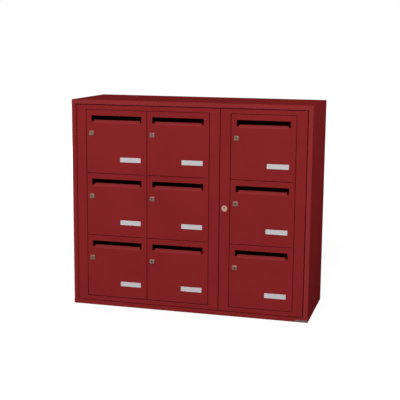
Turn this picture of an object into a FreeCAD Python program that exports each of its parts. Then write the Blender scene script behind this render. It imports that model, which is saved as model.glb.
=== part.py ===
import FreeCAD, Part
import math
import os
from collections import namedtuple

# Wall-mounted cluster mailbox: a folded-sheet cabinet with two collective doors, here called leaves.
# The left leaf carries two columns of mail doors and the right leaf one column.
# Frame: +X right, +Z up, the front faces -Y, and the wall is the plane Y = 0.
# The origin is the centre of the wall bolt pattern, in the middle of the back panel.

# Cabinet, in millimetres
DEPTH = 365.0
FRAME_FACE = 18.8
FRAME_LIP = 22.0
LEAF_GAP = 2.4
SHEET = 1.2
INNER_BEND = 1.0

# Layout of the mail doors
LEFT_COLUMNS = 2
RIGHT_COLUMNS = 1
ROWS = 3
DOOR_WIDTH = 260.0
DOOR_HEIGHT = 260.0
DOOR_GAP = 2.0

# Leaves
STILE_FACE = 41.3
RAIL_FACE = 17.8
LEAF_DEPTH = 20.0
STOP_FACE = 12.0
BAR_FACE = 26.0
BAR_RIB = 10.0
LEAF_PIN_RADIUS = 3.0
LEAF_PIN_INSET = 9.0
LEAF_PIN_SETBACK = 6.5
LEAF_PIN_REACH = 8.0
LEAF_COLLAR_RADIUS = 5.0

# Mail doors
DOOR_RETURN = 10.0
HINGE_RETURN = 7.0
DOOR_BEND = 1.6
ROD_RADIUS = 1.5
ROD_INSET = 5.5
ROD_ROOM = 0.8
ROD_REACH = 3.0
LUG_MARGIN = 4.0
LUG_OVERLAP = 10.0
LUG_SETBACK = 1.8
LUG_PLAY = 0.4

# Mail slot, with its tab bent inwards as a letter slide
SLOT_SIDE = 22.5
SLOT_DROP = 22.5
SLOT_HEIGHT = 25.0
SLOT_NOTCH = 9.0
TAB_LENGTH = 12.0
TAB_ANGLE = 58.0
TAB_ROOT = 5.0

# Name plate
PLATE_WIDTH = 87.5
PLATE_HEIGHT = 19.2
PLATE_THICKNESS = 2.0
PLATE_SIDE = 25.8
PLATE_RISE = 49.0
PLATE_BORDER = 2.5
PLATE_RECESS = 0.6

# Cam lock of a mail door
LOCK_SIDE = 22.8
LOCK_DROP = 95.0
LOCK_FACE_WIDTH = 19.6
LOCK_FACE_CORNER = 1.6
LOCK_FACE_THICKNESS = 7.5
LOCK_FACE_BEVEL = 1.8
LOCK_BARREL = 13.0
LOCK_PLUG_RADIUS = 5.5
LOCK_CAM_THICKNESS = 2.0
LOCK_CAM_WIDTH = 11.0
LOCK_CAM_REACH = 19.0
LOCK_CLIP_MARGIN = 4.0
LOCK_CLIP_THICKNESS = 1.5

# Main lock, on the free stile of the right leaf
MAIN_LOCK_RISE = 13.1
MAIN_FACE_RADIUS = 12.5
MAIN_FACE_THICKNESS = 3.5
MAIN_FACE_BEVEL = 1.2
MAIN_BARREL = 16.0
MAIN_PLUG_RADIUS = 6.5
MAIN_CAM_THICKNESS = 3.0
MAIN_CAM_WIDTH = 14.0
MAIN_CAM_REACH = 34.0
MAIN_CLIP_MARGIN = 4.0
MAIN_CAM_PLAY = 1.5

# Key slots, which lie mostly above the axis
KEY_WIDTH = 1.6
KEY_HEIGHT = 6.6
KEY_RISE = 1.8
KEY_DEPTH = 5.0

# Slide bolts of the left leaf
BOLT_WIDTH = 12.0
BOLT_THICKNESS = 5.0
BOLT_LENGTH = 80.0
BOLT_SETBACK = 4.0
BOLT_PLAY = 0.4
BOLT_KNOB_RADIUS = 2.5
BOLT_KNOB_LENGTH = 8.0
BOLT_KNOB_DROP = 42.0
GUIDE_DROP = 14.0
GUIDE_SPACING = 48.0
GUIDE_HEIGHT = 10.0
GUIDE_FOOT = 7.0

# Inside of the cabinet
DIVIDER_FLANGE = 15.0
SHELF_FLANGE = 12.0
SHELF_LIP = 10.0
SHELF_LIP_RELIEF = 4.0
SLOT_PLAY = 0.2

# Wall bolt pattern
BOLT_HOLE_RADIUS = 4.5
BOLT_SPACING_X = 760.0
BOLT_SPACING_Z = 620.0

# Clearances
RUNNING_FIT = 0.06
FIXED_FIT = 0.02
FACE_PLAY = 0.3
SWING_ROOM = 1.0
CAM_ROOM = 3.3
BARREL_FIT = 0.2
COMPARTMENT_ROOM = 3.8

# Derived sizes
OUTER_BEND = INNER_BEND + SHEET
PITCH_X = DOOR_WIDTH + DOOR_GAP
PITCH_Z = DOOR_HEIGHT + DOOR_GAP
LEAF_HEIGHT = ROWS * PITCH_Z + DOOR_GAP + 2 * RAIL_FACE
LEAF_TOP = LEAF_HEIGHT / 2
WINDOW_TOP = LEAF_TOP - RAIL_FACE
TOP = LEAF_TOP + LEAF_GAP + FRAME_FACE
COLUMNS = LEFT_COLUMNS + RIGHT_COLUMNS
WIDTH = 2 * FRAME_FACE + 3 * LEAF_GAP + 4 * STILE_FACE + COLUMNS * PITCH_X + 2 * DOOR_GAP
LEFT = -WIDTH / 2
RIGHT = WIDTH / 2
BACK_INNER = DEPTH - SHEET

# A hinge rod sits just behind the door's sheet, and the stop lies just past the swing of the returns.
ROD_SETBACK = SHEET + ROD_ROOM + ROD_RADIUS
STOP_SETBACK = ROD_SETBACK + math.hypot(ROD_INSET, DOOR_RETURN - ROD_SETBACK) + SWING_ROOM
LUG_THICKNESS = DOOR_GAP - 2 * LUG_PLAY
LOCK_CAM_SETBACK = STOP_SETBACK + SHEET + CAM_ROOM
MAIN_CAM_SETBACK = LEAF_DEPTH + MAIN_CAM_PLAY

# The compartments start behind everything that the closed or swinging leaves carry.
LEAF_SWING = LEAF_PIN_SETBACK + math.hypot(LEAF_PIN_INSET, LEAF_DEPTH - LEAF_PIN_SETBACK)
BAR_BACK = STOP_SETBACK + SHEET + BAR_RIB
LOCK_CAM_BACK = LOCK_CAM_SETBACK + LOCK_CAM_THICKNESS
MAIN_CAM_BACK = MAIN_CAM_SETBACK + MAIN_CAM_THICKNESS
COMPARTMENT_FRONT = max(LEAF_SWING, BAR_BACK, LOCK_CAM_BACK, MAIN_CAM_BACK) + COMPARTMENT_ROOM
INTERLOCK = (COMPARTMENT_FRONT + BACK_INNER) / 2

LockSize = namedtuple(
    "LockSize",
    "face_width face_corner face_thickness face_bevel barrel plug_radius"
    " cam_setback cam_thickness cam_width cam_reach clip_margin",
)
DOOR_LOCK = LockSize(
    LOCK_FACE_WIDTH, LOCK_FACE_CORNER, LOCK_FACE_THICKNESS, LOCK_FACE_BEVEL, LOCK_BARREL,
    LOCK_PLUG_RADIUS, LOCK_CAM_SETBACK, LOCK_CAM_THICKNESS, LOCK_CAM_WIDTH, LOCK_CAM_REACH,
    LOCK_CLIP_MARGIN,
)
MAIN_LOCK = LockSize(
    2 * MAIN_FACE_RADIUS, MAIN_FACE_RADIUS, MAIN_FACE_THICKNESS, MAIN_FACE_BEVEL, MAIN_BARREL,
    MAIN_PLUG_RADIUS, MAIN_CAM_SETBACK, MAIN_CAM_THICKNESS, MAIN_CAM_WIDTH, MAIN_CAM_REACH,
    MAIN_CLIP_MARGIN,
)


class Leaf:
    """A collective door: its edges, its window, its pivot and the middle of its free stile."""

    def __init__(self, name, left, columns, hinged_left):
        self.name = name
        self.left = left
        self.columns = columns
        self.window_left = left + STILE_FACE
        self.window_right = self.window_left + columns * PITCH_X + DOOR_GAP
        self.right = self.window_right + STILE_FACE
        self.hinged_left = hinged_left
        if hinged_left:
            self.pivot_x = self.left + LEAF_PIN_INSET
            self.free_stile_x = self.right - STILE_FACE / 2
        else:
            self.pivot_x = self.right - LEAF_PIN_INSET
            self.free_stile_x = self.left + STILE_FACE / 2

    def column_lines(self):
        """Middles of the gaps between its columns."""
        first = self.window_left + DOOR_GAP / 2
        return [first + column * PITCH_X for column in range(1, self.columns)]


class Cell:
    """The place of one mail door in a leaf."""

    def __init__(self, leaf, column, row):
        self.left = leaf.window_left + DOOR_GAP + column * PITCH_X
        self.right = self.left + DOOR_WIDTH
        self.top = WINDOW_TOP - DOOR_GAP - row * PITCH_Z
        self.bottom = self.top - DOOR_HEIGHT
        self.rod_x = self.right - ROD_INSET
        self.lock_x = self.left + LOCK_SIDE
        self.lock_z = self.top - LOCK_DROP


LEFT_LEAF = Leaf("left_leaf", LEFT + FRAME_FACE + LEAF_GAP, LEFT_COLUMNS, True)
RIGHT_LEAF = Leaf("right_leaf", LEFT_LEAF.right + LEAF_GAP, RIGHT_COLUMNS, False)
MEETING_LINE = LEFT_LEAF.right + LEAF_GAP / 2
DIVIDER_LINES = LEFT_LEAF.column_lines() + [MEETING_LINE] + RIGHT_LEAF.column_lines()
ROW_LINES = [WINDOW_TOP - DOOR_GAP / 2 - row * PITCH_Z for row in range(1, ROWS)]


# Helpers


def front(behind):
    """Y of the plane that lies this far behind the cabinet's front face."""
    return behind - DEPTH


def point(x, behind, z):
    return FreeCAD.Vector(x, front(behind), z)


def block(x_from, x_to, behind_from, behind_to, z_from, z_to):
    """Box between two planes each way."""
    corner = point(x_from, behind_from, z_from)
    return Part.makeBox(x_to - x_from, behind_to - behind_from, z_to - z_from, corner)


def frame_block(x_from, x_to, behind_from, behind_to, z_from, z_to, margin):
    """Rectangular ring, this wide all round inside the given box."""
    outside = block(x_from, x_to, behind_from, behind_to, z_from, z_to)
    inside = block(
        x_from + margin, x_to - margin, behind_from - 1, behind_to + 1, z_from + margin, z_to - margin
    )
    return outside.cut(inside)


def upright(x, behind, z_from, z_to, radius):
    """Vertical cylinder."""
    return Part.makeCylinder(radius, z_to - z_from, point(x, behind, z_from))


def through(x, z, behind_from, behind_to, radius):
    """Cylinder from front to back."""
    base = point(x, behind_from, z)
    return Part.makeCylinder(radius, behind_to - behind_from, base, FreeCAD.Vector(0, 1, 0))


def joined(first, *others):
    return first.fuse(list(others)).removeSplitter()


def mirrored_up_down(shape):
    return shape.mirror(FreeCAD.Vector(0, 0, 0), FreeCAD.Vector(0, 0, 1))


def rounded_path(points, radius):
    """Edges along the points, with an arc of this radius at each corner."""
    edges = []
    start = points[0]
    for before, corner, after in zip(points, points[1:], points[2:]):
        arrive = (corner - before).normalize()
        leave = (after - corner).normalize()
        reach = radius * math.tan(arrive.getAngle(leave) / 2)
        first = corner - arrive * reach
        last = corner + leave * reach
        inward = (leave - arrive).normalize()
        middle = corner + inward * (math.hypot(radius, reach) - radius)
        edges.append(Part.LineSegment(start, first).toShape())
        edges.append(Part.Arc(first, middle, last).toShape())
        start = last
    edges.append(Part.LineSegment(start, points[-1]).toShape())
    return edges


def inner_side(points, turn_axis, thickness):
    """The points moved by a sheet's thickness, towards the inside of its folds."""
    inwards = [turn_axis.cross((b - a).normalize()) for a, b in zip(points, points[1:])]
    moved = [points[0] + inwards[0] * thickness]
    for corner, before, after in zip(points[1:-1], inwards, inwards[1:]):
        moved.append(corner + (before + after) * (thickness / (1 + before.dot(after))))
    moved.append(points[-1] + inwards[-1] * thickness)
    return moved


def bent_sheet(skin, turn_axis, run):
    """Folded sheet: skin is its outer side in section, all folds turn about turn_axis, run is its length."""
    inner = inner_side(skin, turn_axis, SHEET)
    edges = rounded_path(skin, OUTER_BEND)
    edges.append(Part.LineSegment(skin[-1], inner[-1]).toShape())
    edges.extend(reversed(rounded_path(inner, INNER_BEND)))
    edges.append(Part.LineSegment(inner[0], skin[0]).toShape())
    return Part.Face(Part.Wire(edges)).extrude(run)


def folded_tray(x_from, x_to, z_from, z_to, depth, bend):
    """Sheet tray that opens to the back, with its front edges rounded."""
    outside = block(x_from, x_to, 0, depth, z_from, z_to)
    front_edges = [edge for edge in outside.Edges if edge.BoundBox.YMax < front(bend)]
    outside = outside.makeFillet(bend, front_edges)
    inside = block(x_from + SHEET, x_to - SHEET, SHEET, depth + 1, z_from + SHEET, z_to - SHEET)
    return outside.cut(inside)


# Cabinet


def left_side_panel():
    """Side wall with the frame's face and lip folded in, ending between the top and bottom faces."""
    face_end = TOP - FRAME_FACE
    wall_end = TOP - SHEET
    corner = OUTER_BEND - INNER_BEND * math.sqrt(0.5)
    half = [
        Part.LineSegment(point(LEFT, OUTER_BEND, 0), point(LEFT, OUTER_BEND, face_end)),
        Part.LineSegment(point(LEFT, OUTER_BEND, face_end), point(LEFT, SHEET, face_end)),
        Part.LineSegment(point(LEFT, SHEET, face_end), point(LEFT, SHEET, TOP - OUTER_BEND)),
        Part.Arc(
            point(LEFT, SHEET, TOP - OUTER_BEND),
            point(LEFT, corner, TOP - corner),
            point(LEFT, OUTER_BEND, wall_end),
        ),
        Part.LineSegment(point(LEFT, OUTER_BEND, wall_end), point(LEFT, DEPTH, wall_end)),
        Part.LineSegment(point(LEFT, DEPTH, wall_end), point(LEFT, DEPTH, 0)),
        Part.LineSegment(point(LEFT, DEPTH, 0), point(LEFT, OUTER_BEND, 0)),
    ]
    outline = Part.Face(Part.Wire([segment.toShape() for segment in half]))
    upper_wall = outline.extrude(FreeCAD.Vector(SHEET, 0, 0))
    skin = [
        point(LEFT, DEPTH / 2, -face_end),
        point(LEFT, 0, -face_end),
        point(LEFT + FRAME_FACE, 0, -face_end),
        point(LEFT + FRAME_FACE, FRAME_LIP, -face_end),
    ]
    face_and_lip = bent_sheet(skin, FreeCAD.Vector(0, 0, 1), FreeCAD.Vector(0, 0, 2 * face_end))
    return joined(upper_wall, mirrored_up_down(upper_wall), face_and_lip)


def right_side_panel():
    return left_side_panel().mirror(FreeCAD.Vector(0, 0, 0), FreeCAD.Vector(1, 0, 0))


def top_panel():
    """Top wall with the frame's face folded down over the whole width, and a lip between the sides."""
    face_end = TOP - FRAME_FACE

    def section(x):
        return [point(x, DEPTH, TOP), point(x, 0, TOP), point(x, 0, face_end), point(x, FRAME_LIP, face_end)]

    turn_axis = FreeCAD.Vector(1, 0, 0)
    lip_left = LEFT + FRAME_FACE
    middle = bent_sheet(section(lip_left), turn_axis, FreeCAD.Vector(WIDTH - 2 * FRAME_FACE, 0, 0))
    end = bent_sheet(section(LEFT)[:3], turn_axis, FreeCAD.Vector(FRAME_FACE, 0, 0))
    other_end = end.mirror(FreeCAD.Vector(0, 0, 0), FreeCAD.Vector(1, 0, 0))
    panel = joined(middle, end, other_end)
    pin_hole = LEAF_PIN_RADIUS + FIXED_FIT
    pivots = [
        upright(leaf.pivot_x, LEAF_PIN_SETBACK, face_end - 1, face_end + SHEET + 1, pin_hole)
        for leaf in (LEFT_LEAF, RIGHT_LEAF)
    ]
    return panel.cut(pivots + [bolt_passage(face_end - 1, face_end + SHEET + 1)])


def bottom_panel():
    return mirrored_up_down(top_panel())


def back_panel():
    """Back wall between the other four, with the wall bolt holes."""
    wall_top = TOP - SHEET
    panel = block(LEFT + SHEET, RIGHT - SHEET, BACK_INNER, DEPTH, -wall_top, wall_top)
    holes = [
        through(x, z, BACK_INNER - 1, DEPTH + 1, BOLT_HOLE_RADIUS)
        for x in (-BOLT_SPACING_X / 2, BOLT_SPACING_X / 2)
        for z in (-BOLT_SPACING_Z / 2, BOLT_SPACING_Z / 2)
    ]
    return panel.cut(holes)


def divider(x):
    """Upright wall between two columns, with a rear flange and open slots that take the shelves."""
    wall_top = TOP - SHEET
    skin_x = x - SHEET / 2
    skin = [
        point(skin_x, COMPARTMENT_FRONT, -wall_top),
        point(skin_x, BACK_INNER, -wall_top),
        point(skin_x + DIVIDER_FLANGE, BACK_INNER, -wall_top),
    ]
    wall = bent_sheet(skin, FreeCAD.Vector(0, 0, -1), FreeCAD.Vector(0, 0, 2 * wall_top))
    half_slot = SHEET / 2 + SLOT_PLAY
    slot_end = INTERLOCK + SLOT_PLAY
    slots = [
        block(x - SHEET, x + SHEET, COMPARTMENT_FRONT - 1, slot_end, z - half_slot, z + half_slot)
        for z in ROW_LINES
    ]
    return wall.cut(slots)


def shelf(z):
    """Full-width shelf with end flanges, a front lip in each bay and rear slots for the dividers."""
    upper = z + SHEET / 2
    left_wall = LEFT + SHEET
    right_wall = RIGHT - SHEET
    rear = BACK_INNER - OUTER_BEND - SLOT_PLAY
    skin = [
        point(left_wall, COMPARTMENT_FRONT, upper - SHELF_FLANGE),
        point(left_wall, COMPARTMENT_FRONT, upper),
        point(right_wall, COMPARTMENT_FRONT, upper),
        point(right_wall, COMPARTMENT_FRONT, upper - SHELF_FLANGE),
    ]
    run = FreeCAD.Vector(0, rear - COMPARTMENT_FRONT, 0)
    board = bent_sheet(skin, FreeCAD.Vector(0, 1, 0), run)
    bay_edges = [left_wall] + DIVIDER_LINES + [right_wall]
    lips = [
        block(
            bay_left + SHELF_LIP_RELIEF, bay_right - SHELF_LIP_RELIEF,
            COMPARTMENT_FRONT, COMPARTMENT_FRONT + SHEET, upper - SHELF_LIP, upper,
        )
        for bay_left, bay_right in zip(bay_edges, bay_edges[1:])
    ]
    half_slot = SHEET / 2 + SLOT_PLAY
    slots = [
        block(x - half_slot, x + half_slot, INTERLOCK - SLOT_PLAY, rear + 1, z - SHEET, z + SHEET)
        for x in DIVIDER_LINES
    ]
    return joined(board, *lips).cut(slots)


def leaf_pivot_pins():
    """Four pins in the frame's lips; the lower ones have a collar that carries the leaf."""
    lip = TOP - FRAME_FACE
    pin_from = LEAF_TOP - SHEET - LEAF_PIN_REACH
    pin_to = lip + SHEET + LEAF_PIN_REACH
    pins = []
    for leaf in (LEFT_LEAF, RIGHT_LEAF):
        upper = upright(leaf.pivot_x, LEAF_PIN_SETBACK, pin_from, pin_to, LEAF_PIN_RADIUS)
        collar = upright(leaf.pivot_x, LEAF_PIN_SETBACK, -lip, -LEAF_TOP - FACE_PLAY, LEAF_COLLAR_RADIUS)
        pins.extend([upper, joined(mirrored_up_down(upper), collar)])
    return Part.makeCompound(pins)


# Leaves


def leaf_frame(leaf):
    """Folded frame of a leaf: stiles and rails, a collar round the window and a stop behind the doors."""
    tray = folded_tray(leaf.left, leaf.right, -LEAF_TOP, LEAF_TOP, LEAF_DEPTH, DOOR_BEND)
    window = (leaf.window_left, leaf.window_right)
    tray = tray.cut(block(*window, -1, SHEET + 1, -WINDOW_TOP, WINDOW_TOP))
    collar = frame_block(
        leaf.window_left - SHEET, leaf.window_right + SHEET, 0, STOP_SETBACK + SHEET,
        -WINDOW_TOP - SHEET, WINDOW_TOP + SHEET, SHEET,
    )
    stop = frame_block(*window, STOP_SETBACK, STOP_SETBACK + SHEET, -WINDOW_TOP, WINDOW_TOP, STOP_FACE)
    shape = joined(tray, collar, stop)
    return shape.cut(leaf_pin_holes(leaf) + rod_holes(leaf) + leaf_hardware_holes(leaf))


def leaf_pin_holes(leaf):
    """Pivot holes in the top and bottom flanges."""
    upper = upright(
        leaf.pivot_x, LEAF_PIN_SETBACK, LEAF_TOP - SHEET - 1, LEAF_TOP + 1, LEAF_PIN_RADIUS + RUNNING_FIT
    )
    return [upper, mirrored_up_down(upper)]


def rod_holes(leaf):
    """Holes in the window's collar for the ends of the hinge rods."""
    upper = [
        upright(x, ROD_SETBACK, WINDOW_TOP - 1, WINDOW_TOP + SHEET + 1, ROD_RADIUS + FIXED_FIT)
        for x in rod_lines(leaf)
    ]
    return upper + [mirrored_up_down(hole) for hole in upper]


def leaf_hardware_holes(leaf):
    """The left leaf's bolt passages, or the right leaf's main lock hole."""
    if leaf.hinged_left:
        upper = bolt_passage(LEAF_TOP - SHEET - 1, LEAF_TOP + 1)
        return [upper, mirrored_up_down(upper)]
    return [barrel_shape(leaf.free_stile_x, MAIN_LOCK_RISE, MAIN_LOCK, -1, SHEET + 1, BARREL_FIT)]


def rod_lines(leaf):
    """X of the mail doors' hinge rods, column by column."""
    return [Cell(leaf, column, 0).rod_x for column in range(leaf.columns)]


def mullion():
    """Upright flat bar behind the gap between the left leaf's columns, with a stiffening rib on its back."""
    end = WINDOW_TOP - STOP_FACE
    bars = []
    for x in LEFT_LEAF.column_lines():
        web = block(x - BAR_FACE / 2, x + BAR_FACE / 2, STOP_SETBACK, STOP_SETBACK + SHEET, -end, end)
        bars.extend([web, block(x - SHEET, x + SHEET, STOP_SETBACK + SHEET, BAR_BACK, -end, end)])
    return Part.makeCompound(bars)


def crossbars(leaf):
    """Level flat bars behind the gaps between rows, each with a rib and a lug that holds the hinge rod."""
    ends = [leaf.window_left + STOP_FACE]
    for x in leaf.column_lines():
        ends.extend([x - BAR_FACE / 2, x + BAR_FACE / 2])
    ends.append(leaf.window_right - STOP_FACE)
    bars = []
    for z in ROW_LINES:
        for start, end, rod_x in zip(ends[::2], ends[1::2], rod_lines(leaf)):
            web = block(
                start, end, STOP_SETBACK, STOP_SETBACK + SHEET, z - BAR_FACE / 2, z + BAR_FACE / 2
            )
            bars.append(joined(web, hinge_lug(end - LUG_OVERLAP, rod_x, z)))
            bars.append(block(start, end, STOP_SETBACK + SHEET, BAR_BACK, z - SHEET, z + SHEET))
    return Part.makeCompound(bars)


def hinge_lug(left, rod_x, z):
    """Plate in the gap between two doors, notched from the front for the hinge rod."""
    right = rod_x + ROD_RADIUS + LUG_MARGIN
    half = LUG_THICKNESS / 2
    plate = block(left, right, LUG_SETBACK, STOP_SETBACK, z - half, z + half)
    reach = ROD_RADIUS + FIXED_FIT
    notch_back = ROD_SETBACK + reach
    notch = block(rod_x - reach, rod_x + reach, LUG_SETBACK - 1, notch_back, z - half - 1, z + half + 1)
    return plate.cut(notch)


def hinge_rods(leaf):
    """One rod for each column, through the doors and lugs from rail to rail."""
    end = WINDOW_TOP + SHEET + ROD_REACH
    return Part.makeCompound([upright(x, ROD_SETBACK, -end, end, ROD_RADIUS) for x in rod_lines(leaf)])


# Slide bolts of the left leaf


def bolt_passage(z_from, z_to):
    """Hole that the top bolt slides through."""
    half = BOLT_WIDTH / 2 + BOLT_PLAY
    x = LEFT_LEAF.free_stile_x
    bolt_back = BOLT_SETBACK + BOLT_THICKNESS
    return block(x - half, x + half, BOLT_SETBACK - BOLT_PLAY, bolt_back + BOLT_PLAY, z_from, z_to)


def top_bolt():
    """Flat bolt with a finger knob, drawn back flush with the leaf's top edge."""
    x = LEFT_LEAF.free_stile_x
    half = BOLT_WIDTH / 2
    bolt_back = BOLT_SETBACK + BOLT_THICKNESS
    bar = block(x - half, x + half, BOLT_SETBACK, bolt_back, LEAF_TOP - BOLT_LENGTH, LEAF_TOP)
    knob_end = bolt_back + BOLT_KNOB_LENGTH
    return joined(bar, through(x, LEAF_TOP - BOLT_KNOB_DROP, bolt_back, knob_end, BOLT_KNOB_RADIUS))


def bottom_bolt():
    return mirrored_up_down(top_bolt())


def bolt_guides():
    """Straps welded inside the stile, two for each bolt."""
    x = LEFT_LEAF.free_stile_x
    inside = BOLT_WIDTH / 2 + BOLT_PLAY
    leg = inside + SHEET
    foot = leg + GUIDE_FOOT
    roof = BOLT_SETBACK + BOLT_THICKNESS + BOLT_PLAY
    straps = []
    for drop in (GUIDE_DROP, GUIDE_DROP + GUIDE_SPACING):
        z_from = LEAF_TOP - drop - GUIDE_HEIGHT / 2
        z_to = z_from + GUIDE_HEIGHT
        base = block(x - foot, x + foot, SHEET, 2 * SHEET, z_from, z_to)
        arch = block(x - leg, x + leg, SHEET, roof + SHEET, z_from, z_to)
        tunnel = block(x - inside, x + inside, SHEET - 1, roof, z_from - 1, z_to + 1)
        straps.append(joined(base, arch).cut(tunnel))
    return Part.makeCompound(straps + [mirrored_up_down(strap) for strap in straps])


# Mail doors


def mail_door(cell):
    """Folded door with its slot and bent tab, a short return at the hinge and holes for lock and rod."""
    tray = folded_tray(cell.left, cell.right, cell.bottom, cell.top, DOOR_RETURN, DOOR_BEND)
    slot_left = cell.left + SLOT_SIDE
    slot_right = cell.right - SLOT_SIDE
    slot_top = cell.top - SLOT_DROP
    fold = slot_top - SLOT_HEIGHT
    tab_left = slot_left + SLOT_NOTCH
    tab_right = slot_right - SLOT_NOTCH
    rod_hole = ROD_RADIUS + RUNNING_FIT
    cuts = [
        block(slot_left, slot_right, -1, SHEET + 1, fold, slot_top),
        block(tab_left, tab_right, -1, SHEET + 1, fold - TAB_ROOT, fold),
        block(
            cell.right - SHEET, cell.right + 1, HINGE_RETURN, DOOR_RETURN + 1, cell.bottom - 1, cell.top + 1
        ),
        barrel_shape(cell.lock_x, cell.lock_z, DOOR_LOCK, -1, SHEET + 1, BARREL_FIT),
        upright(cell.rod_x, ROD_SETBACK, cell.top - SHEET - 1, cell.top + 1, rod_hole),
        upright(cell.rod_x, ROD_SETBACK, cell.bottom - 1, cell.bottom + SHEET + 1, rod_hole),
    ]
    angle = math.radians(TAB_ANGLE)
    skin = [
        point(tab_left, 0, fold - TAB_ROOT),
        point(tab_left, 0, fold),
        point(tab_left, TAB_LENGTH * math.sin(angle), fold + TAB_LENGTH * math.cos(angle)),
    ]
    tab = bent_sheet(skin, FreeCAD.Vector(-1, 0, 0), FreeCAD.Vector(tab_right - tab_left, 0, 0))
    return joined(tray.cut(cuts), tab)


def name_plate(cell):
    """Plate with a shallow field for the name, on the front of the door."""
    right = cell.right - PLATE_SIDE
    left = right - PLATE_WIDTH
    bottom = cell.bottom + PLATE_RISE
    plate = block(left, right, -PLATE_THICKNESS, 0, bottom, bottom + PLATE_HEIGHT)
    field = block(
        left + PLATE_BORDER, right - PLATE_BORDER, -PLATE_THICKNESS - 1, PLATE_RECESS - PLATE_THICKNESS,
        bottom + PLATE_BORDER, bottom + PLATE_HEIGHT - PLATE_BORDER,
    )
    return plate.cut(field)


# Locks


def barrel_shape(x, z, lock, behind_from, behind_to, clearance):
    """Square barrel, or the hole that takes it."""
    half = lock.barrel / 2 + clearance
    return block(x - half, x + half, behind_from, behind_to, z - half, z + half)


def lock_face(x, z, lock):
    """Bevelled square face with cut corners, which is a disc where the corners take up the whole width."""
    half = lock.face_width / 2
    if lock.face_corner >= half:
        face = through(x, z, -lock.face_thickness, 0, half)
    else:
        face = block(x - half, x + half, -lock.face_thickness, 0, z - half, z + half)
        corners = [edge for edge in face.Edges if edge.BoundBox.YLength > lock.face_thickness / 2]
        face = face.makeChamfer(lock.face_corner, corners)
    rim = [edge for edge in face.Edges if edge.BoundBox.YMax < front(-lock.face_thickness / 2)]
    return face.makeChamfer(lock.face_bevel, rim)


def lock_body(x, z, lock):
    """Housing with its face and a square barrel, and the clip that holds it behind the sheet."""
    end = lock.cam_setback - FACE_PLAY
    face = lock_face(x, z, lock)
    bore = through(x, z, -lock.face_thickness - 1, end + 1, lock.plug_radius + RUNNING_FIT)
    housing = joined(face, barrel_shape(x, z, lock, 0, end, 0)).cut(bore)
    half = lock.barrel / 2 + FIXED_FIT
    reach = lock.barrel / 2 + lock.clip_margin
    clip_back = SHEET + LOCK_CLIP_THICKNESS
    clip = block(x - reach, x + reach, SHEET, clip_back, z - reach, z + reach)
    mouth = block(x - half, x + half, SHEET - 1, clip_back + 1, z - half, z + reach + 1)
    return Part.makeCompound([housing, clip.cut(mouth)])


def lock_rotor(x, z, lock):
    """Plug with its key slot, and the cam on its rear end, which hangs down when unlocked."""
    cam_back = lock.cam_setback + lock.cam_thickness
    plug = through(x, z, -lock.face_thickness, lock.cam_setback, lock.plug_radius)
    key = block(
        x - KEY_WIDTH / 2, x + KEY_WIDTH / 2, -lock.face_thickness - 1, KEY_DEPTH - lock.face_thickness,
        z + KEY_RISE - KEY_HEIGHT / 2, z + KEY_RISE + KEY_HEIGHT / 2,
    )
    half_width = lock.cam_width / 2
    cam = block(
        x - half_width, x + half_width, lock.cam_setback, cam_back, z - lock.cam_reach, z + half_width
    )
    return joined(plug, cam).cut(key)


# Assembly


def cabinet_shapes():
    shapes = {
        "left_side_panel": left_side_panel(),
        "right_side_panel": right_side_panel(),
        "top_panel": top_panel(),
        "bottom_panel": bottom_panel(),
        "back_panel": back_panel(),
        "leaf_pivot_pins": leaf_pivot_pins(),
    }
    for name, x in zip(("left_divider", "right_divider"), DIVIDER_LINES):
        shapes[name] = divider(x)
    for name, z in zip(("upper_shelf", "lower_shelf"), ROW_LINES):
        shapes[name] = shelf(z)
    return shapes


def leaf_shapes():
    shapes = {
        "left_leaf_mullion": mullion(),
        "bolt_guides": bolt_guides(),
        "top_bolt": top_bolt(),
        "bottom_bolt": bottom_bolt(),
        "main_lock_body": lock_body(RIGHT_LEAF.free_stile_x, MAIN_LOCK_RISE, MAIN_LOCK),
        "main_lock_rotor": lock_rotor(RIGHT_LEAF.free_stile_x, MAIN_LOCK_RISE, MAIN_LOCK),
    }
    for leaf in (LEFT_LEAF, RIGHT_LEAF):
        shapes[leaf.name + "_frame"] = leaf_frame(leaf)
        shapes[leaf.name + "_crossbars"] = crossbars(leaf)
        shapes[leaf.name + "_hinge_rods"] = hinge_rods(leaf)
    return shapes


def cells():
    """Each mail door's name and place, columns from the left and rows from the top."""
    named = {}
    for leaf, first_column in ((LEFT_LEAF, 1), (RIGHT_LEAF, LEFT_COLUMNS + 1)):
        for column in range(leaf.columns):
            for row in range(ROWS):
                named["c%d_r%d" % (first_column + column, row + 1)] = Cell(leaf, column, row)
    return named


def door_shapes():
    shapes = {}
    for name, cell in cells().items():
        shapes["door_" + name] = mail_door(cell)
        shapes["name_plate_" + name] = name_plate(cell)
        shapes["lock_body_" + name] = lock_body(cell.lock_x, cell.lock_z, DOOR_LOCK)
        shapes["lock_rotor_" + name] = lock_rotor(cell.lock_x, cell.lock_z, DOOR_LOCK)
    return shapes


def main():
    os.makedirs("parts", exist_ok=True)
    shapes = {**cabinet_shapes(), **leaf_shapes(), **door_shapes()}
    for name, shape in shapes.items():
        shape.exportStep("parts/%s.step" % name)


if __name__ == "__main__":
    main()
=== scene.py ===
import math
from collections import namedtuple

import bmesh
import bpy
from mathutils import Matrix, Vector


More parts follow.
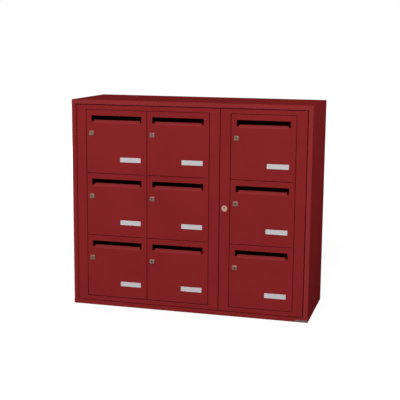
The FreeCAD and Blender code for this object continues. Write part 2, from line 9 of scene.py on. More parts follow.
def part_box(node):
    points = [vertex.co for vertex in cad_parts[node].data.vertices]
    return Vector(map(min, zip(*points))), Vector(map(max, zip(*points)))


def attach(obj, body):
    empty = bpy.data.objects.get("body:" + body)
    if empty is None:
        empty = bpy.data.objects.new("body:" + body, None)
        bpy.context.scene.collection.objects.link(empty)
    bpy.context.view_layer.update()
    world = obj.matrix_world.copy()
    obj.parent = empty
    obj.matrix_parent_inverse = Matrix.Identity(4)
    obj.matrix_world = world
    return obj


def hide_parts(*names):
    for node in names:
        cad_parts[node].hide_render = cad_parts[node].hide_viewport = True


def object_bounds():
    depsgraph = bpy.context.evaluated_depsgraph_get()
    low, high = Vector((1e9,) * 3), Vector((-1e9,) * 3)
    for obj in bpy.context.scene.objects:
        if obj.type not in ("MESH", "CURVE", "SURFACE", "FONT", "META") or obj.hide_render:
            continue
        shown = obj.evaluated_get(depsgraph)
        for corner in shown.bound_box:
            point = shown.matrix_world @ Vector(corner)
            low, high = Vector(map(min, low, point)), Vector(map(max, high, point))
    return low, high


# Looks of the wall-mounted cluster mailbox, in metres, in the frame of the solids.
# +X is right, +Z is up, and the front faces -Y.

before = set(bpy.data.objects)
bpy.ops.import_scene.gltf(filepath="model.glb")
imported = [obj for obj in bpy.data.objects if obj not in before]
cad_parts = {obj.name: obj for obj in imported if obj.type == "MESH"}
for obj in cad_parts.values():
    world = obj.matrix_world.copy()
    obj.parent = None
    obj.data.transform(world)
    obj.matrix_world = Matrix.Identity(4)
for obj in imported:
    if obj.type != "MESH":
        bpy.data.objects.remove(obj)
solid_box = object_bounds()

MM = 0.001

# Camera, at the photograph's place: angles in degrees, lens and sensor in millimetres
CAMERA_PLACE = (1.0148, -3.9101, 0.6829)
CAMERA_YAW = 15.209
CAMERA_PITCH = 9.897
CAMERA_ROLL = 0.513
CAMERA_LENS = 83.273
SENSOR_WIDTH = 36.0
DOWN_TO_LEVEL = 90.0

# Light: each lamp's direction from the object, its distance and width, and its power in watts
Lamp = namedtuple("Lamp", "direction distance size power")
LAMPS = {
    "key": Lamp((0.10, -0.80, 0.60), 7.0, 2.5, 274.0),
    "front_left": Lamp((-0.35, -0.93, 0.08), 6.0, 3.0, 168.0),
    "side": Lamp((0.90, -0.05, 0.45), 2.0, 1.2, 12.2),
    "rear_left": Lamp((-0.70, 0.70, 0.22), 6.0, 3.0, 250.0),
}
AMBIENT = 0.15
WHITE = (1.0, 1.0, 1.0, 1.0)

# Floor: its own grey, its reach, and the glow that makes it look white, near the object and far from it
FLOOR_GREY = (0.25, 0.25, 0.25, 1.0)
FLOOR_REACH = 30.0
FLOOR_DISTANCES = (1.2, 5.0)
FLOOR_GLOWS = (0.84, 1.0)

# Colours, linear: the dark and the light tone that each finish drifts between
Tone = namedtuple("Tone", "dark light")
RED = Tone((0.214, 0.0166, 0.0176, 1.0), (0.230, 0.0180, 0.0190, 1.0))
# Painted highlight: a paler red where light catches the frame's front lips and the doors' press below the
# slot
HIGHLIGHT_RED = Tone((0.236, 0.0240, 0.0250, 1.0), (0.252, 0.0255, 0.0265, 1.0))
STEEL = Tone((0.036, 0.034, 0.032, 1.0), (0.055, 0.052, 0.050, 1.0))
NICKEL = Tone((0.214, 0.118, 0.087, 1.0), (0.270, 0.153, 0.112, 1.0))
NICKEL_PLUG = Tone((0.102, 0.058, 0.041, 1.0), (0.138, 0.081, 0.058, 1.0))
BRASS = Tone((0.320, 0.175, 0.134, 1.0), (0.380, 0.208, 0.160, 1.0))
BRASS_PLUG = Tone((0.268, 0.176, 0.121, 1.0), (0.320, 0.212, 0.148, 1.0))
HOLDER = Tone((0.545, 0.515, 0.535, 1.0), (0.595, 0.565, 0.585, 1.0))
CARD = Tone((0.490, 0.475, 0.500, 1.0), (0.535, 0.520, 0.545, 1.0))
LABEL = Tone((0.115, 0.068, 0.072, 1.0), (0.145, 0.088, 0.093, 1.0))

# Noise: its detail, and the part of its range over which tone and gloss change
DETAIL = 2.0
FINE_DETAIL = 3.0
MOTTLE_DETAIL = 4.0
TONE_SPAN = (0.35, 0.65)
GLOSS_SPAN = (0.3, 0.7)
FINE_DEPTH = 0.05 * MM

# Powder coat: the scales of its drift of tone, its speckle of gloss and its orange peel
DRIFT_SCALE = 5.0
SPECKLE_SCALE = 420.0
PEEL_SCALE = 650.0
PEEL_STRENGTH = 0.12
PEEL_DEPTH = 0.15 * MM
PAINT_ROUGHNESS = (0.82, 0.94)
PAINT_SPECULAR = 0.0
# Painted highlight over the rounded front edge of these sheets' lips, across this width
LIP_ROUND = 1.2 * MM
HIGHLIGHT_LIP_NODES = ("top_panel", "right_side_panel")

# Metals: a cloud of tone, and lines drawn out along one axis
Metal = namedtuple("Metal", "name tone metallic roughness lines relief")
CLOUD_SCALE = 120.0
LINE_SCALE = 900.0
LINES_ACROSS = (0.08, 1.0, 1.0)
LINES_UP = (1.0, 1.0, 0.08)
LONG_LINES_UP = (1.0, 1.0, 0.06)
METAL_SPECULAR = 0.1
LOCK_ROUGHNESS = (0.36, 0.46)
METALS = {
    "steel": Metal("dark_steel", STEEL, 0.5, (0.50, 0.62), LONG_LINES_UP, 0.10),
    "lock": Metal("dull_nickel", NICKEL, 0.3, LOCK_ROUGHNESS, LINES_ACROSS, 0.08),
    "lock_plug": Metal("dark_nickel", NICKEL_PLUG, 0.3, LOCK_ROUGHNESS, LINES_ACROSS, 0.08),
    "main_lock": Metal("warm_nickel", BRASS, 0.6, LOCK_ROUGHNESS, LINES_ACROSS, 0.08),
    "main_lock_plug": Metal("warm_plug", BRASS_PLUG, 0.6, (0.34, 0.44), LINES_UP, 0.08),
}
STEEL_NODES = (
    "leaf_pivot_pins", "left_leaf_hinge_rods", "right_leaf_hinge_rods", "top_bolt", "bottom_bolt",
)

# Plastic, card and film: a mottle at one scale
Matt = namedtuple("Matt", "name tone scale roughness relief")
MATT_SPECULAR = 0.3
MATTS = {
    "holder": Matt("pale_plastic", HOLDER, 260.0, (0.40, 0.50), 0.06),
    "card": Matt("grey_card", CARD, 700.0, (0.55, 0.70), 0.10),
    "label": Matt("grey_film", LABEL, 300.0, (0.40, 0.50), 0.05),
}

# Sockets of the mix node that carry colours, which share their names with others
MIX_FACTOR = 0
MIX_FIRST = 6
MIX_SECOND = 7
MIX_RESULT = 2

# Mail doors, from each door's sides and top: the tab below the slot, and the round press at its root
DOOR_NAMES = ["c%d_r%d" % (column, row) for column in (1, 2, 3) for row in (1, 2, 3)]
Fold = namedtuple("Fold", "start radius")
TAB_SIDE = 31.5 * MM
TAB_TOP = 40.0 * MM
TAB_ANGLE = math.radians(58)
FOLD_DROP = 47.5 * MM
FOLD_RADIUS = 2.2 * MM
PLAIN_FOLD = Fold(FOLD_DROP + FOLD_RADIUS * math.tan(TAB_ANGLE / 2), FOLD_RADIUS)
ROUND_PRESS = Fold(54.0 * MM, 10.0 * MM)
PRESS_END = 45.4 * MM
PRESS_STEPS = 10
PRESS_TAPER = 8.0 * MM
TAPER_STEPS = 5
# Material index of the press faces, which carry the painted highlight
PRESS_HIGHLIGHT_FINISH = 1

# Locks: the barrel, the clip, the plug with its key slot, the cam and its nut
SHEET = 1.2 * MM
BARREL_CORNER = 1.0 * MM
BORE_PLAY = 0.06 * MM
CLIP_THICKNESS = 1.5 * MM
CLIP_FIT = 0.02 * MM
CLIP_CORNER = 1.2 * MM
PLUG_CHAMFER = 0.2 * MM
KEY_CORNER = 0.3 * MM
KEY_DEPTH = 12.0 * MM
KEY_CHAMFER = 0.1 * MM
# Material index of the key slot's walls and floor, which take the dark steel as painted shade
KEY_SHADE_FINISH = 1
CAM_CORNER = 3.0 * MM
CAM_CHAMFER = 0.3 * MM
NUT_SIDES = 6
NUT_THICKNESS = 1.6 * MM
NUT_CHAMFER = 0.4 * MM

# The rings of a lock's face, from its edge to the floor round its plug
FaceRing = namedtuple("FaceRing", "half corner setback")
DOOR_FACE_RINGS = (
    FaceRing(9.8 * MM, 2.4 * MM, 2.6 * MM),
    FaceRing(8.6 * MM, 2.6 * MM, 1.6 * MM),
    FaceRing(6.2 * MM, 6.2 * MM, 0.0),
    FaceRing(5.9 * MM, 5.9 * MM, 0.3 * MM),
)
MAIN_FACE_RINGS = (
    FaceRing(12.5 * MM, 12.5 * MM, 0.8 * MM),
    FaceRing(11.7 * MM, 11.7 * MM, 0.0),
    FaceRing(8.5 * MM, 8.5 * MM, 0.3 * MM),
)

# The two kinds of lock
LockLook = namedtuple(
    "LockLook",
    "face_rings plug_radius key_half_width key_half_height key_rise "
    "barrel_half clip_reach cam_half_width cam_thickness nut_radius slot",
)
DOOR_LOCK = LockLook(
    face_rings=DOOR_FACE_RINGS,
    plug_radius=5.5 * MM,
    key_half_width=1.1 * MM,
    key_half_height=3.3 * MM,
    key_rise=1.8 * MM,
    barrel_half=6.5 * MM,
    clip_reach=10.5 * MM,
    cam_half_width=5.5 * MM,
    cam_thickness=2.0 * MM,
    nut_radius=4.6 * MM,
    slot="lock",
)
MAIN_LOCK = LockLook(
    face_rings=MAIN_FACE_RINGS,
    plug_radius=6.5 * MM,
    key_half_width=1.8 * MM,
    key_half_height=2.9 * MM,
    key_rise=2.7 * MM,
    barrel_half=8.0 * MM,
    clip_reach=12.0 * MM,
    cam_half_width=7.0 * MM,
    cam_thickness=3.0 * MM,
    nut_radius=5.6 * MM,
    slot="main_lock",
)

# Directions in a quarter turn, in degrees, that catch the rounded corners of a lock's face and barrel
CORNER_DIRECTIONS = (0, 10, 20, 29, 36, 39, 42, 45, 48, 51, 54, 58, 66, 69, 84)
QUARTER_TURNS = [quarter * math.pi / 2 for quarter in range(4)]

# Name plates
HOLDER_BORDER = 2.5 * MM
HOLDER_CORNER = 1.2 * MM
HOLDER_CHAMFER = 0.4 * MM
HOLDER_RECESS = 0.6 * MM
CARD_THICKNESS = 0.3 * MM
CARD_PLAY = 0.4 * MM
CARD_CORNER = 0.6 * MM

# Blank label on the frame
LABEL_LEFT = 451.0 * MM
LABEL_RIGHT = 498.0 * MM
LABEL_BOTTOM = -430.6 * MM
LABEL_TOP = -422.6 * MM
LABEL_THICKNESS = 0.5 * MM
LABEL_CORNER = 1.0 * MM
LABEL_CHAMFER = 0.15 * MM

# Meshes: steps in a rounded corner, which faces and edges stay crisp, and how close points are one
ARC_STEPS = 6
SHARP_ANGLE = math.radians(28)
SQUARE_FACE = 0.99999
MERGE_DISTANCE = 1e-7
CUT_DISTANCE = 1e-6


# Node helpers


def new_material(name):
    """A material, its shader, and the place of each point in the object's own coordinates."""
    material = bpy.data.materials.new(name)
    material.use_nodes = True
    nodes = material.node_tree.nodes
    shader = nodes["Principled BSDF"]
    place = nodes.new("ShaderNodeTexCoord").outputs["Object"]
    return material, shader, place


def noise(tree, place, scale, detail, stretch=None):
    """Noise in the object's own coordinates, drawn out along an axis where stretch says so."""
    if stretch is not None:
        mapping = tree.nodes.new("ShaderNodeMapping")
        mapping.inputs["Scale"].default_value = stretch
        tree.links.new(place, mapping.inputs["Vector"])
        place = mapping.outputs["Vector"]
    texture = tree.nodes.new("ShaderNodeTexNoise")
    texture.inputs["Scale"].default_value = scale
    texture.inputs["Detail"].default_value = detail
    tree.links.new(place, texture.inputs["Vector"])
    return texture.outputs["Fac"]


def blended(tree, factor, tone):
    """Colour that runs from the dark to the light tone with the factor."""
    ramp = tree.nodes.new("ShaderNodeValToRGB")
    for stop, position, colour in zip(ramp.color_ramp.elements, TONE_SPAN, tone):
        stop.position = position
        stop.color = colour
    tree.links.new(factor, ramp.inputs["Fac"])
    return ramp.outputs["Color"]


def mixed(tree, factor, first, second):
    """Colour that runs from the first to the second with the factor."""
    mix = tree.nodes.new("ShaderNodeMix")
    mix.data_type = "RGBA"
    tree.links.new(factor, mix.inputs[MIX_FACTOR])
    tree.links.new(first, mix.inputs[MIX_FIRST])
    tree.links.new(second, mix.inputs[MIX_SECOND])
    return mix.outputs[MIX_RESULT]


def mapped(tree, value, span, result):
    """Number that runs over the result as the value runs over the span."""
    node = tree.nodes.new("ShaderNodeMapRange")
    limits = {"From Min": span[0], "From Max": span[1], "To Min": result[0], "To Max": result[1]}
    for name, limit in limits.items():
        node.inputs[name].default_value = limit
    tree.links.new(value, node.inputs["Value"])
    return node.outputs["Result"]


def combined(tree, operation, first, second):
    """Number worked out from two others."""
    node = tree.nodes.new("ShaderNodeMath")
    node.operation = operation
    tree.links.new(first, node.inputs[0])
    tree.links.new(second, node.inputs[1])
    return node.outputs["Value"]


def bumped(tree, shader, height, strength, distance):
    """Relief from a height."""
    bump = tree.nodes.new("ShaderNodeBump")
    bump.inputs["Strength"].default_value = strength
    bump.inputs["Distance"].default_value = distance
    tree.links.new(height, bump.inputs["Height"])
    tree.links.new(bump.outputs["Normal"], shader.inputs["Normal"])


# Materials


def highlight_at_front(tree, place, drift, colour):
    """The sheet's colour, which turns to the pale red of a painted highlight over the rounded edge of its
    front lip.
    """
    y_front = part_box("top_panel")[0].y
    parts = tree.nodes.new("ShaderNodeSeparateXYZ")
    tree.links.new(place, parts.inputs["Vector"])
    share = mapped(tree, parts.outputs["Y"], (y_front, y_front + LIP_ROUND), (1.0, 0.0))
    return mixed(tree, share, colour, blended(tree, drift, HIGHLIGHT_RED))


def red_paint(name, tone, painted_highlight_lip=False):
    """Powder coat: matt, with a fine orange peel, a faint drift of tone over large sheets, and on request a
    painted highlight on the front lip.
    """
    material, shader, place = new_material(name)
    tree = material.node_tree
    drift = noise(tree, place, DRIFT_SCALE, FINE_DETAIL)
    colour = blended(tree, drift, tone)
    if painted_highlight_lip:
        colour = highlight_at_front(tree, place, drift, colour)
    tree.links.new(colour, shader.inputs["Base Color"])
    speckle = noise(tree, place, SPECKLE_SCALE, DETAIL)
    tree.links.new(mapped(tree, speckle, GLOSS_SPAN, PAINT_ROUGHNESS), shader.inputs["Roughness"])
    shader.inputs["Specular IOR Level"].default_value = PAINT_SPECULAR
    peel = noise(tree, place, PEEL_SCALE, FINE_DETAIL)
    bumped(tree, shader, peel, PEEL_STRENGTH, PEEL_DEPTH)
    return material


def metal(look):
    """Brushed or turned metal, with fine lines along one axis; dull plating is less metallic."""
    material, shader, place = new_material(look.name)
    tree = material.node_tree
    lines = noise(tree, place, LINE_SCALE, FINE_DETAIL, look.lines)
    cloud = noise(tree, place, CLOUD_SCALE, DETAIL)
    tree.links.new(blended(tree, cloud, look.tone), shader.inputs["Base Color"])
    tree.links.new(mapped(tree, lines, GLOSS_SPAN, look.roughness), shader.inputs["Roughness"])
    shader.inputs["Metallic"].default_value = look.metallic
    shader.inputs["Specular IOR Level"].default_value = METAL_SPECULAR
    bumped(tree, shader, lines, look.relief, FINE_DEPTH)
    return material


def matt_surface(look):
    """Moulded plastic, card or film: a faint mottle with matching relief."""
    material, shader, place = new_material(look.name)
    tree = material.node_tree
    mottle = noise(tree, place, look.scale, MOTTLE_DETAIL)
    tree.links.new(blended(tree, mottle, look.tone), shader.inputs["Base Color"])
    tree.links.new(mapped(tree, mottle, GLOSS_SPAN, look.roughness), shader.inputs["Roughness"])
    shader.inputs["Specular IOR Level"].default_value = MATT_SPECULAR
    bumped(tree, shader, mottle, look.relief, FINE_DEPTH)
    return material


def make_materials():
    """Every finish, by the name that the pieces ask for."""
    materials = {
        "paint": red_paint("red_powder_coat", RED),
        # The pale red on the doors' press and on the frame's front lips is a painted highlight
        "press_highlight_paint": red_paint("painted_highlight_red_powder_coat", HIGHLIGHT_RED),
        "painted_highlight_lip": red_paint("red_powder_coat_pale_lip", RED, painted_highlight_lip=True),
    }
    for key, look in METALS.items():
        materials[key] = metal(look)
    for key, look in MATTS.items():
        materials[key] = matt_surface(look)
    return materials


# Mesh helpers


def side_length(half_x, half_z, corner, angle):
    """Distance from the middle of a rounded rectangle to its edge in the direction of the angle."""
    along = abs(math.cos(angle))
    up = abs(math.sin(angle))
    if half_x * up <= (half_z - corner) * along:
        return half_x / along
    if half_z * along <= (half_x - corner) * up:
        return half_z / up
    arc_x = half_x - corner
    arc_z = half_z - corner
    middle = along * arc_x + up * arc_z
    return middle + math.sqrt(middle ** 2 - arc_x ** 2 - arc_z ** 2 + corner ** 2)


def shared_angles():
    """Directions that catch the corners of a lock's face, barrel and key slot, all round."""
    quarter = [math.radians(direction) for direction in CORNER_DIRECTIONS]
    quarter += [math.atan2(look.key_half_height, look.key_half_width) for look in (DOOR_LOCK, MAIN_LOCK)]
    quarter.sort()
    return [turn + angle for turn in QUARTER_TURNS for angle in quarter]


ANGLES = shared_angles()


def star_loop(mesh, x, y, z, half_x, half_z, corner):
    """Closed ring of points on a rounded rectangle, in the directions that all such rings share."""
    loop = []
    for angle in ANGLES:
        reach = side_length(half_x, half_z, corner, angle)
        loop.append(mesh.verts.new((x + reach * math.cos(angle), y, z + reach * math.sin(angle))))
    return loop


def outline_loop(mesh, points, y):
    """Closed ring of points on an outline, at one depth."""
    return [mesh.verts.new((x, y, z)) for x, z in points]


def rounded_outline(points, corner):
    """The outline's points, with an arc of the same radius at each corner."""
    outline = []
    count = len(points)
    for index, point in enumerate(points):
        here = Vector(point)
        to_before = (Vector(points[index - 1]) - here).normalized()
        to_after = (Vector(points[(index + 1) % count]) - here).normalized()
        half_turn = to_before.angle(to_after) / 2
        middle = here + (to_before + to_after).normalized() * (corner / math.sin(half_turn))
        first = (here + to_before * (corner / math.tan(half_turn)) - middle).normalized()
        last = (here + to_after * (corner / math.tan(half_turn)) - middle).normalized()
        for step in range(ARC_STEPS + 1):
            outline.append(tuple(middle + first.slerp(last, step / ARC_STEPS) * corner))
    return outline


def rectangle(x_from, x_to, z_from, z_to):
    """The corners of a rectangle, in order."""
    return [(x_from, z_from), (x_to, z_from), (x_to, z_to), (x_from, z_to)]


def skin(mesh, loops):
    """Faces between each ring and the next."""
    for first, second in zip(loops, loops[1:]):
        for index in range(len(first)):
            mesh.faces.new((first[index - 1], first[index], second[index], second[index - 1]))


def closed_skin(mesh, loops):
    """Tube whose last ring joins its first."""
    skin(mesh, loops + [loops[0]])


def capped_skin(mesh, loops):
    """Solid with a face over its first and its last ring."""
    skin(mesh, loops)
    mesh.faces.new(loops[0])
    mesh.faces.new(loops[-1])


def slab(mesh, points, corner, y_front, y_back, chamfer):
    """Plate with rounded corners and a chamfer round its front."""
    centre_x = (min(x for x, z in points) + max(x for x, z in points)) / 2
    centre_z = (min(z for x, z in points) + max(z for x, z in points)) / 2
    shrink_x = 1 - chamfer / (max(x for x, z in points) - centre_x)
    shrink_z = 1 - chamfer / (max(z for x, z in points) - centre_z)
    outline = rounded_outline(points, corner)
    inset = [
        (centre_x + (x - centre_x) * shrink_x, centre_z + (z - centre_z) * shrink_z)
        for x, z in outline
    ]
    capped_skin(mesh, [
        outline_loop(mesh, outline, y_back),
        outline_loop(mesh, outline, y_front + chamfer),
        outline_loop(mesh, inset, y_front),
    ])


def piece(mesh, name, materials, body):
    """Turns the mesh into an object that rides on a body, with crisp edges kept sharp."""
    bmesh.ops.remove_doubles(mesh, verts=mesh.verts, dist=MERGE_DISTANCE)
    mesh.normal_update()
    bmesh.ops.recalc_face_normals(mesh, faces=mesh.faces)
    for face in mesh.faces:
        face.smooth = max(abs(share) for share in face.normal) < SQUARE_FACE
    for edge in mesh.edges:
        edge.smooth = len(edge.link_faces) == 2 and edge.calc_face_angle() < SHARP_ANGLE
    data = bpy.data.meshes.new(name)
    mesh.to_mesh(data)
    mesh.free()
    for material in materials:
        data.materials.append(material)
    made = bpy.data.objects.new(name, data)
    bpy.context.scene.collection.objects.link(made)
    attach(made, body)
    return made


# Mail doors


def copied_mesh(node):
    """A mesh with the node's points and faces, for a piece that follows its form."""
    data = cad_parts[node].data
    mesh = bmesh.new()
    points = [mesh.verts.new(vertex.co) for vertex in data.vertices]
    for polygon in data.polygons:
        mesh.faces.new([points[index] for index in polygon.vertices])
    bmesh.ops.remove_doubles(mesh, verts=mesh.verts, dist=CUT_DISTANCE)
    return mesh


def cut(mesh, place, normal):
    """Divides every face that the plane crosses."""
    everything = mesh.verts[:] + mesh.edges[:] + mesh.faces[:]
    bmesh.ops.bisect_plane(mesh, geom=everything, dist=CUT_DISTANCE, plane_co=place, plane_no=normal)


def along_sheet(fold, depth, drop):
    """A point's distance past the start of a bend in a sheet, and its depth below the outer skin."""
    rise = fold.start - drop
    if rise <= 0:
        return rise, depth
    inward = depth - fold.radius
    turn = math.atan2(rise, -inward)
    if turn <= TAB_ANGLE:
        return fold.radius * turn, fold.radius - math.hypot(rise, inward)
    run = inward * math.sin(TAB_ANGLE) + rise * math.cos(TAB_ANGLE)
    below = fold.radius + inward * math.cos(TAB_ANGLE) - rise * math.sin(TAB_ANGLE)
    return fold.radius * TAB_ANGLE + run, below


def in_sheet(fold, distance, below):
    """The depth and drop of the point that lies at a distance past the start of a bend."""
    turn = min(max(distance / fold.radius, 0.0), TAB_ANGLE)
    run = distance - fold.radius * turn
    reach = fold.radius - below
    depth = fold.radius - reach * math.cos(turn) + run * math.sin(turn)
    rise = reach * math.sin(turn) + run * math.cos(turn)
    return depth, fold.start - rise


def eased(share):
    """The share from 0 to 1, made level at both ends."""
    return share * share * (3 - 2 * share)


def make_door(door, materials):
    """The folded door, with a round press below its slot that runs out at the tab's sides; the press faces
    take the pale red as a painted highlight.
    """
    node = "door_" + door
    low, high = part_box(node)
    mesh = copied_mesh(node)
    for step in range(PRESS_STEPS + 1):
        drop = ROUND_PRESS.start + (PRESS_END - ROUND_PRESS.start) * step / PRESS_STEPS
        cut(mesh, (0.0, 0.0, high.z - drop), (0.0, 0.0, 1.0))
    for step in range(TAPER_STEPS + 1):
        inset = TAB_SIDE + PRESS_TAPER * step / TAPER_STEPS
        for x in (low.x + inset, high.x - inset):
            cut(mesh, (x, 0.0, 0.0), (1.0, 0.0, 0.0))

    def inside_tab(place):
        return min(place.x - low.x, high.x - place.x) - TAB_SIDE

    for face in mesh.faces:
        middle = face.calc_center_median()
        if inside_tab(middle) > 0 and TAB_TOP < high.z - middle.z < ROUND_PRESS.start:
            face.material_index = PRESS_HIGHLIGHT_FINISH
    for vert in mesh.verts:
        inside = inside_tab(vert.co)
        drop = high.z - vert.co.z
        if inside <= 0 or not TAB_TOP < drop < ROUND_PRESS.start:
            continue
        depth = vert.co.y - low.y
        distance, below = along_sheet(PLAIN_FOLD, depth, drop)
        pressed = in_sheet(ROUND_PRESS, distance + ROUND_PRESS.start - PLAIN_FOLD.start, below)
        share = eased(min(inside / PRESS_TAPER, 1.0))
        vert.co.y += (pressed[0] - depth) * share
        vert.co.z -= (pressed[1] - drop) * share
    # The second finish, the pale red, is a painted highlight on the press
    finishes = [materials["paint"], materials["press_highlight_paint"]]
    made = piece(mesh, node + "_look", finishes, "mail_door_" + door)
    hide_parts(node)


# Locks


def lock_housing(mesh, look, x, z, y_front, y_sheet, y_back):
    """Face that rises from its edge and dips round the plug, and the barrel behind it with its bore."""
    bore = look.plug_radius + BORE_PLAY
    edge = look.face_rings[0]
    floor = look.face_rings[-1]

    def ring(y, half, corner):
        return star_loop(mesh, x, y, z, half, half, corner)

    closed_skin(mesh, [
        ring(y_back, look.barrel_half, BARREL_CORNER),
        ring(y_sheet, look.barrel_half, BARREL_CORNER),
        ring(y_sheet, edge.half, edge.corner),
        *[ring(y_front + step.setback, step.half, step.corner) for step in look.face_rings],
        ring(y_front + floor.setback, bore, bore),
        ring(y_back, bore, bore),
    ])


def lock_clip(mesh, look, x, z, y_sheet):
    """Spring clip behind the sheet, open at the top."""
    reach = look.clip_reach
    inside = look.barrel_half + CLIP_FIT
    outline = [
        (x - reach, z - reach), (x + reach, z - reach), (x + reach, z + reach), (x + inside, z + reach),
        (x + inside, z - inside), (x - inside, z - inside), (x - inside, z + reach), (x - reach, z + reach),
    ]
    rounded = rounded_outline(outline, CLIP_CORNER)
    y_front = y_sheet + SHEET
    y_back = y_front + CLIP_THICKNESS
    capped_skin(mesh, [outline_loop(mesh, rounded, y) for y in (y_front, y_back)])


def lock_plug(mesh, look, x, z, y_front, y_cam):
    """Turning plug with a chamfered edge and a deep key slot, which lies mostly above the axis; the slot's
    walls and floor are dark steel as painted shade.
    """
    radius = look.plug_radius
    z_key = z + look.key_rise

    def disc(y, reach):
        loop = []
        for angle in ANGLES:
            side = look.key_rise * math.cos(angle)
            ray = math.sqrt(reach ** 2 - side ** 2) - look.key_rise * math.sin(angle)
            loop.append(mesh.verts.new((x + ray * math.cos(angle), y, z_key + ray * math.sin(angle))))
        return loop

    def key(y, margin):
        half_width = look.key_half_width + margin
        half_height = look.key_half_height + margin
        return star_loop(mesh, x, y, z_key, half_width, half_height, KEY_CORNER)

    slot_floor = key(y_front + KEY_DEPTH, 0.0)
    capped_skin(mesh, [
        disc(y_cam, radius),
        disc(y_front + PLUG_CHAMFER, radius),
        disc(y_front, radius - PLUG_CHAMFER),
        key(y_front, KEY_CHAMFER),
        key(y_front + KEY_CHAMFER, 0.0),
        slot_floor,
    ])
    for face in {face for vert in slot_floor for face in vert.link_faces}:
        face.material_index = KEY_SHADE_FINISH


def lock_cam(mesh, look, x, z, z_end, y_cam):
    """Cam on the plug's rear end, held by a nut."""
    half = look.cam_half_width
    points = rectangle(x - half, x + half, z_end, z + half)
    y_nut = y_cam + look.cam_thickness
    slab(mesh, points, CAM_CORNER, y_cam, y_nut, CAM_CHAMFER)
    turns = [math.tau * side / NUT_SIDES for side in range(NUT_SIDES)]

    def hexagon(y, radius):
        corners = [(x + radius * math.cos(turn), z + radius * math.sin(turn)) for turn in turns]
        return outline_loop(mesh, corners, y)

    capped_skin(mesh, [
        hexagon(y_nut, look.nut_radius),
        hexagon(y_nut + NUT_THICKNESS - NUT_CHAMFER, look.nut_radius),
        hexagon(y_nut + NUT_THICKNESS, look.nut_radius - NUT_CHAMFER),
    ])


def make_lock(look, body_node, rotor_node, sheet_node, carrier, turning, materials):
    """Housing and clip, which ride on the carrier, and the turning plug with its cam."""
    low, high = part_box(body_node)
    x = (low.x + high.x) / 2
    z = (low.z + high.z) / 2
    rotor_low, rotor_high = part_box(rotor_node)
    y_cam = rotor_high.y - look.cam_thickness
    y_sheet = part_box(sheet_node)[0].y
    housing_mesh = bmesh.new()
    lock_housing(housing_mesh, look, x, z, low.y, y_sheet, high.y)
    lock_clip(housing_mesh, look, x, z, y_sheet)
    housing = piece(housing_mesh, body_node + "_look", [materials[look.slot]], carrier)
    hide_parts(body_node)
    rotor_mesh = bmesh.new()
    lock_plug(rotor_mesh, look, x, z, rotor_low.y, y_cam)
    lock_cam(rotor_mesh, look, x, z, rotor_low.z, y_cam)
    # The second finish, dark steel, is painted shade in the key slot
    finishes = [materials[look.slot + "_plug"], materials["steel"]]
    rotor = piece(rotor_mesh, rotor_node + "_look", finishes, turning)
    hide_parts(rotor_node)


# Plates


def make_name_plate(door, materials):
    """Holder with a raised border, and the blank card in it."""
    node = "name_plate_" + door
    body = "mail_door_" + door
    low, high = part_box(node)

    def inset_rectangle(inset):
        return rectangle(low.x + inset, high.x - inset, low.z + inset, high.z - inset)

    def ring(mesh, y, inset, corner):
        return outline_loop(mesh, rounded_outline(inset_rectangle(inset), corner), y)

    y_chamfer = low.y + HOLDER_CHAMFER
    y_floor = low.y + HOLDER_RECESS
    holder_mesh = bmesh.new()
    capped_skin(holder_mesh, [
        ring(holder_mesh, high.y, 0.0, HOLDER_CORNER),
        ring(holder_mesh, y_chamfer, 0.0, HOLDER_CORNER),
        ring(holder_mesh, low.y, HOLDER_CHAMFER, HOLDER_CORNER - HOLDER_CHAMFER),
        ring(holder_mesh, low.y, HOLDER_BORDER - HOLDER_CHAMFER, CARD_CORNER),
        ring(holder_mesh, y_chamfer, HOLDER_BORDER, CARD_CORNER),
        ring(holder_mesh, y_floor, HOLDER_BORDER, CARD_CORNER),
    ])
    holder = piece(holder_mesh, node + "_holder", [materials["holder"]], body)
    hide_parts(node)
    card_mesh = bmesh.new()
    card = inset_rectangle(HOLDER_BORDER + CARD_PLAY)
    slab(card_mesh, card, CARD_CORNER, y_floor - CARD_THICKNESS, y_floor, CARD_THICKNESS / 2)
    piece(card_mesh, node + "_card", [materials["card"]], body)


def make_label(materials):
    """Blank plate at the lower right corner of the frame."""
    y_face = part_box("bottom_panel")[0].y
    mesh = bmesh.new()
    points = rectangle(LABEL_LEFT, LABEL_RIGHT, LABEL_BOTTOM, LABEL_TOP)
    slab(mesh, points, LABEL_CORNER, y_face - LABEL_THICKNESS, y_face, LABEL_CHAMFER)
    piece(mesh, "frame_label", [materials["label"]], "cabinet")


# Stage


def seen_ray(tree):
    """1 for rays that show the surroundings: straight from the camera, in a reflection or through glass."""
    path = tree.nodes.new("ShaderNodeLightPath")
    seen = path.outputs["Is Camera Ray"]
    for name in ("Is Glossy Ray", "Is Transmission Ray"):
        seen = combined(tree, "MAXIMUM", seen, path.outputs[name])
    return seen


def background(tree, strength):
    """White surroundings of the given strength."""
    node = tree.nodes.new("ShaderNodeBackground")
    node.inputs["Strength"].default_value = strength
    node.inputs["Color"].default_value = WHITE
    return node.outputs["Background"]


def make_world():
    """White to look at, and a soft even light on the object."""
    world = bpy.data.worlds.new("studio")
    world.use_nodes = True
    bpy.context.scene.world = world
    tree = world.node_tree
    tree.nodes.clear()
    mix = tree.nodes.new("ShaderNodeMixShader")
    output = tree.nodes.new("ShaderNodeOutputWorld")
    tree.links.new(seen_ray(tree), mix.inputs["Fac"])
    tree.links.new(background(tree, AMBIENT), mix.inputs[1])
    tree.links.new(background(tree, 1.0), mix.inputs[2])
    tree.links.new(mix.outputs["Shader"], output.inputs["Surface"])


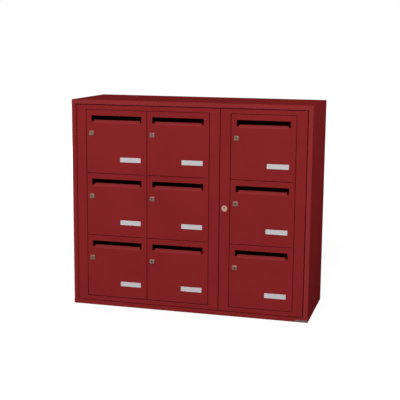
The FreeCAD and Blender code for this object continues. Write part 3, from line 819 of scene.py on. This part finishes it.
def floor_material():
    """Grey that takes the object's shadow, under a glow that makes it look white, more so far away."""
    material = bpy.data.materials.new("pale_floor")
    material.use_nodes = True
    tree = material.node_tree
    tree.nodes.clear()
    diffuse = tree.nodes.new("ShaderNodeBsdfDiffuse")
    diffuse.inputs["Color"].default_value = FLOOR_GREY
    place = tree.nodes.new("ShaderNodeTexCoord")
    distance = tree.nodes.new("ShaderNodeVectorMath")
    distance.operation = "LENGTH"
    tree.links.new(place.outputs["Object"], distance.inputs[0])
    level = mapped(tree, distance.outputs["Value"], FLOOR_DISTANCES, FLOOR_GLOWS)
    glow = tree.nodes.new("ShaderNodeEmission")
    tree.links.new(combined(tree, "MULTIPLY", seen_ray(tree), level), glow.inputs["Strength"])
    both = tree.nodes.new("ShaderNodeAddShader")
    output = tree.nodes.new("ShaderNodeOutputMaterial")
    tree.links.new(diffuse.outputs["BSDF"], both.inputs[0])
    tree.links.new(glow.outputs["Emission"], both.inputs[1])
    tree.links.new(both.outputs["Shader"], output.inputs["Surface"])
    return material


def make_floor():
    """Pale floor under the object."""
    height = solid_box[0].z
    corners = rectangle(-FLOOR_REACH, FLOOR_REACH, -FLOOR_REACH, FLOOR_REACH)
    data = bpy.data.meshes.new("floor")
    data.from_pydata([(x, y, height) for x, y in corners], [], [range(len(corners))])
    data.materials.append(floor_material())
    floor = bpy.data.objects.new("floor", data)
    bpy.context.scene.collection.objects.link(floor)


def make_lamps():
    """Large soft lamps, each aimed at the middle of the object."""
    centre = (solid_box[0] + solid_box[1]) / 2
    for name, lamp in LAMPS.items():
        direction = Vector(lamp.direction).normalized()
        data = bpy.data.lights.new(name, "AREA")
        data.shape = "SQUARE"
        data.size = lamp.size
        data.energy = lamp.power
        light = bpy.data.objects.new(name, data)
        light.location = centre + direction * lamp.distance
        light.rotation_mode = "QUATERNION"
        light.rotation_quaternion = (-direction).to_track_quat("-Z", "Y")
        bpy.context.scene.collection.objects.link(light)


def make_camera():
    """Camera at the photograph's place and angle."""
    data = bpy.data.cameras.new("camera")
    data.lens = CAMERA_LENS
    data.sensor_width = SENSOR_WIDTH
    camera = bpy.data.objects.new("camera", data)
    yaw = Matrix.Rotation(math.radians(CAMERA_YAW), 4, "Z")
    pitch = Matrix.Rotation(math.radians(DOWN_TO_LEVEL - CAMERA_PITCH), 4, "X")
    roll = Matrix.Rotation(math.radians(CAMERA_ROLL), 4, "Z")
    camera.matrix_world = Matrix.Translation(CAMERA_PLACE) @ yaw @ pitch @ roll
    bpy.context.scene.collection.objects.link(camera)
    bpy.context.scene.camera = camera


# Assembly


def paint_solids(materials):
    """Gives each solid that stays in view its finish."""
    for name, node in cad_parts.items():
        finish = materials["paint"]
        if name in STEEL_NODES:
            finish = materials["steel"]
        # The frame's top and right sheets carry a painted highlight on their front lips
        elif name in HIGHLIGHT_LIP_NODES:
            finish = materials["painted_highlight_lip"]
        for material_slot in node.material_slots:
            material_slot.material = finish


def main():
    """The object's finishes and pieces, and the studio round it."""
    materials = make_materials()
    paint_solids(materials)
    for door in DOOR_NAMES:
        make_door(door, materials)
        make_lock(
            DOOR_LOCK, "lock_body_" + door, "lock_rotor_" + door, "door_" + door,
            "mail_door_" + door, "door_lock_" + door, materials,
        )
        make_name_plate(door, materials)
    make_lock(
        MAIN_LOCK, "main_lock_body", "main_lock_rotor", "right_leaf_frame",
        "right_leaf", "main_lock", materials,
    )
    make_label(materials)
    make_world()
    make_floor()
    make_lamps()
    make_camera()
    bpy.context.scene.view_settings.view_transform = "Standard"


main()
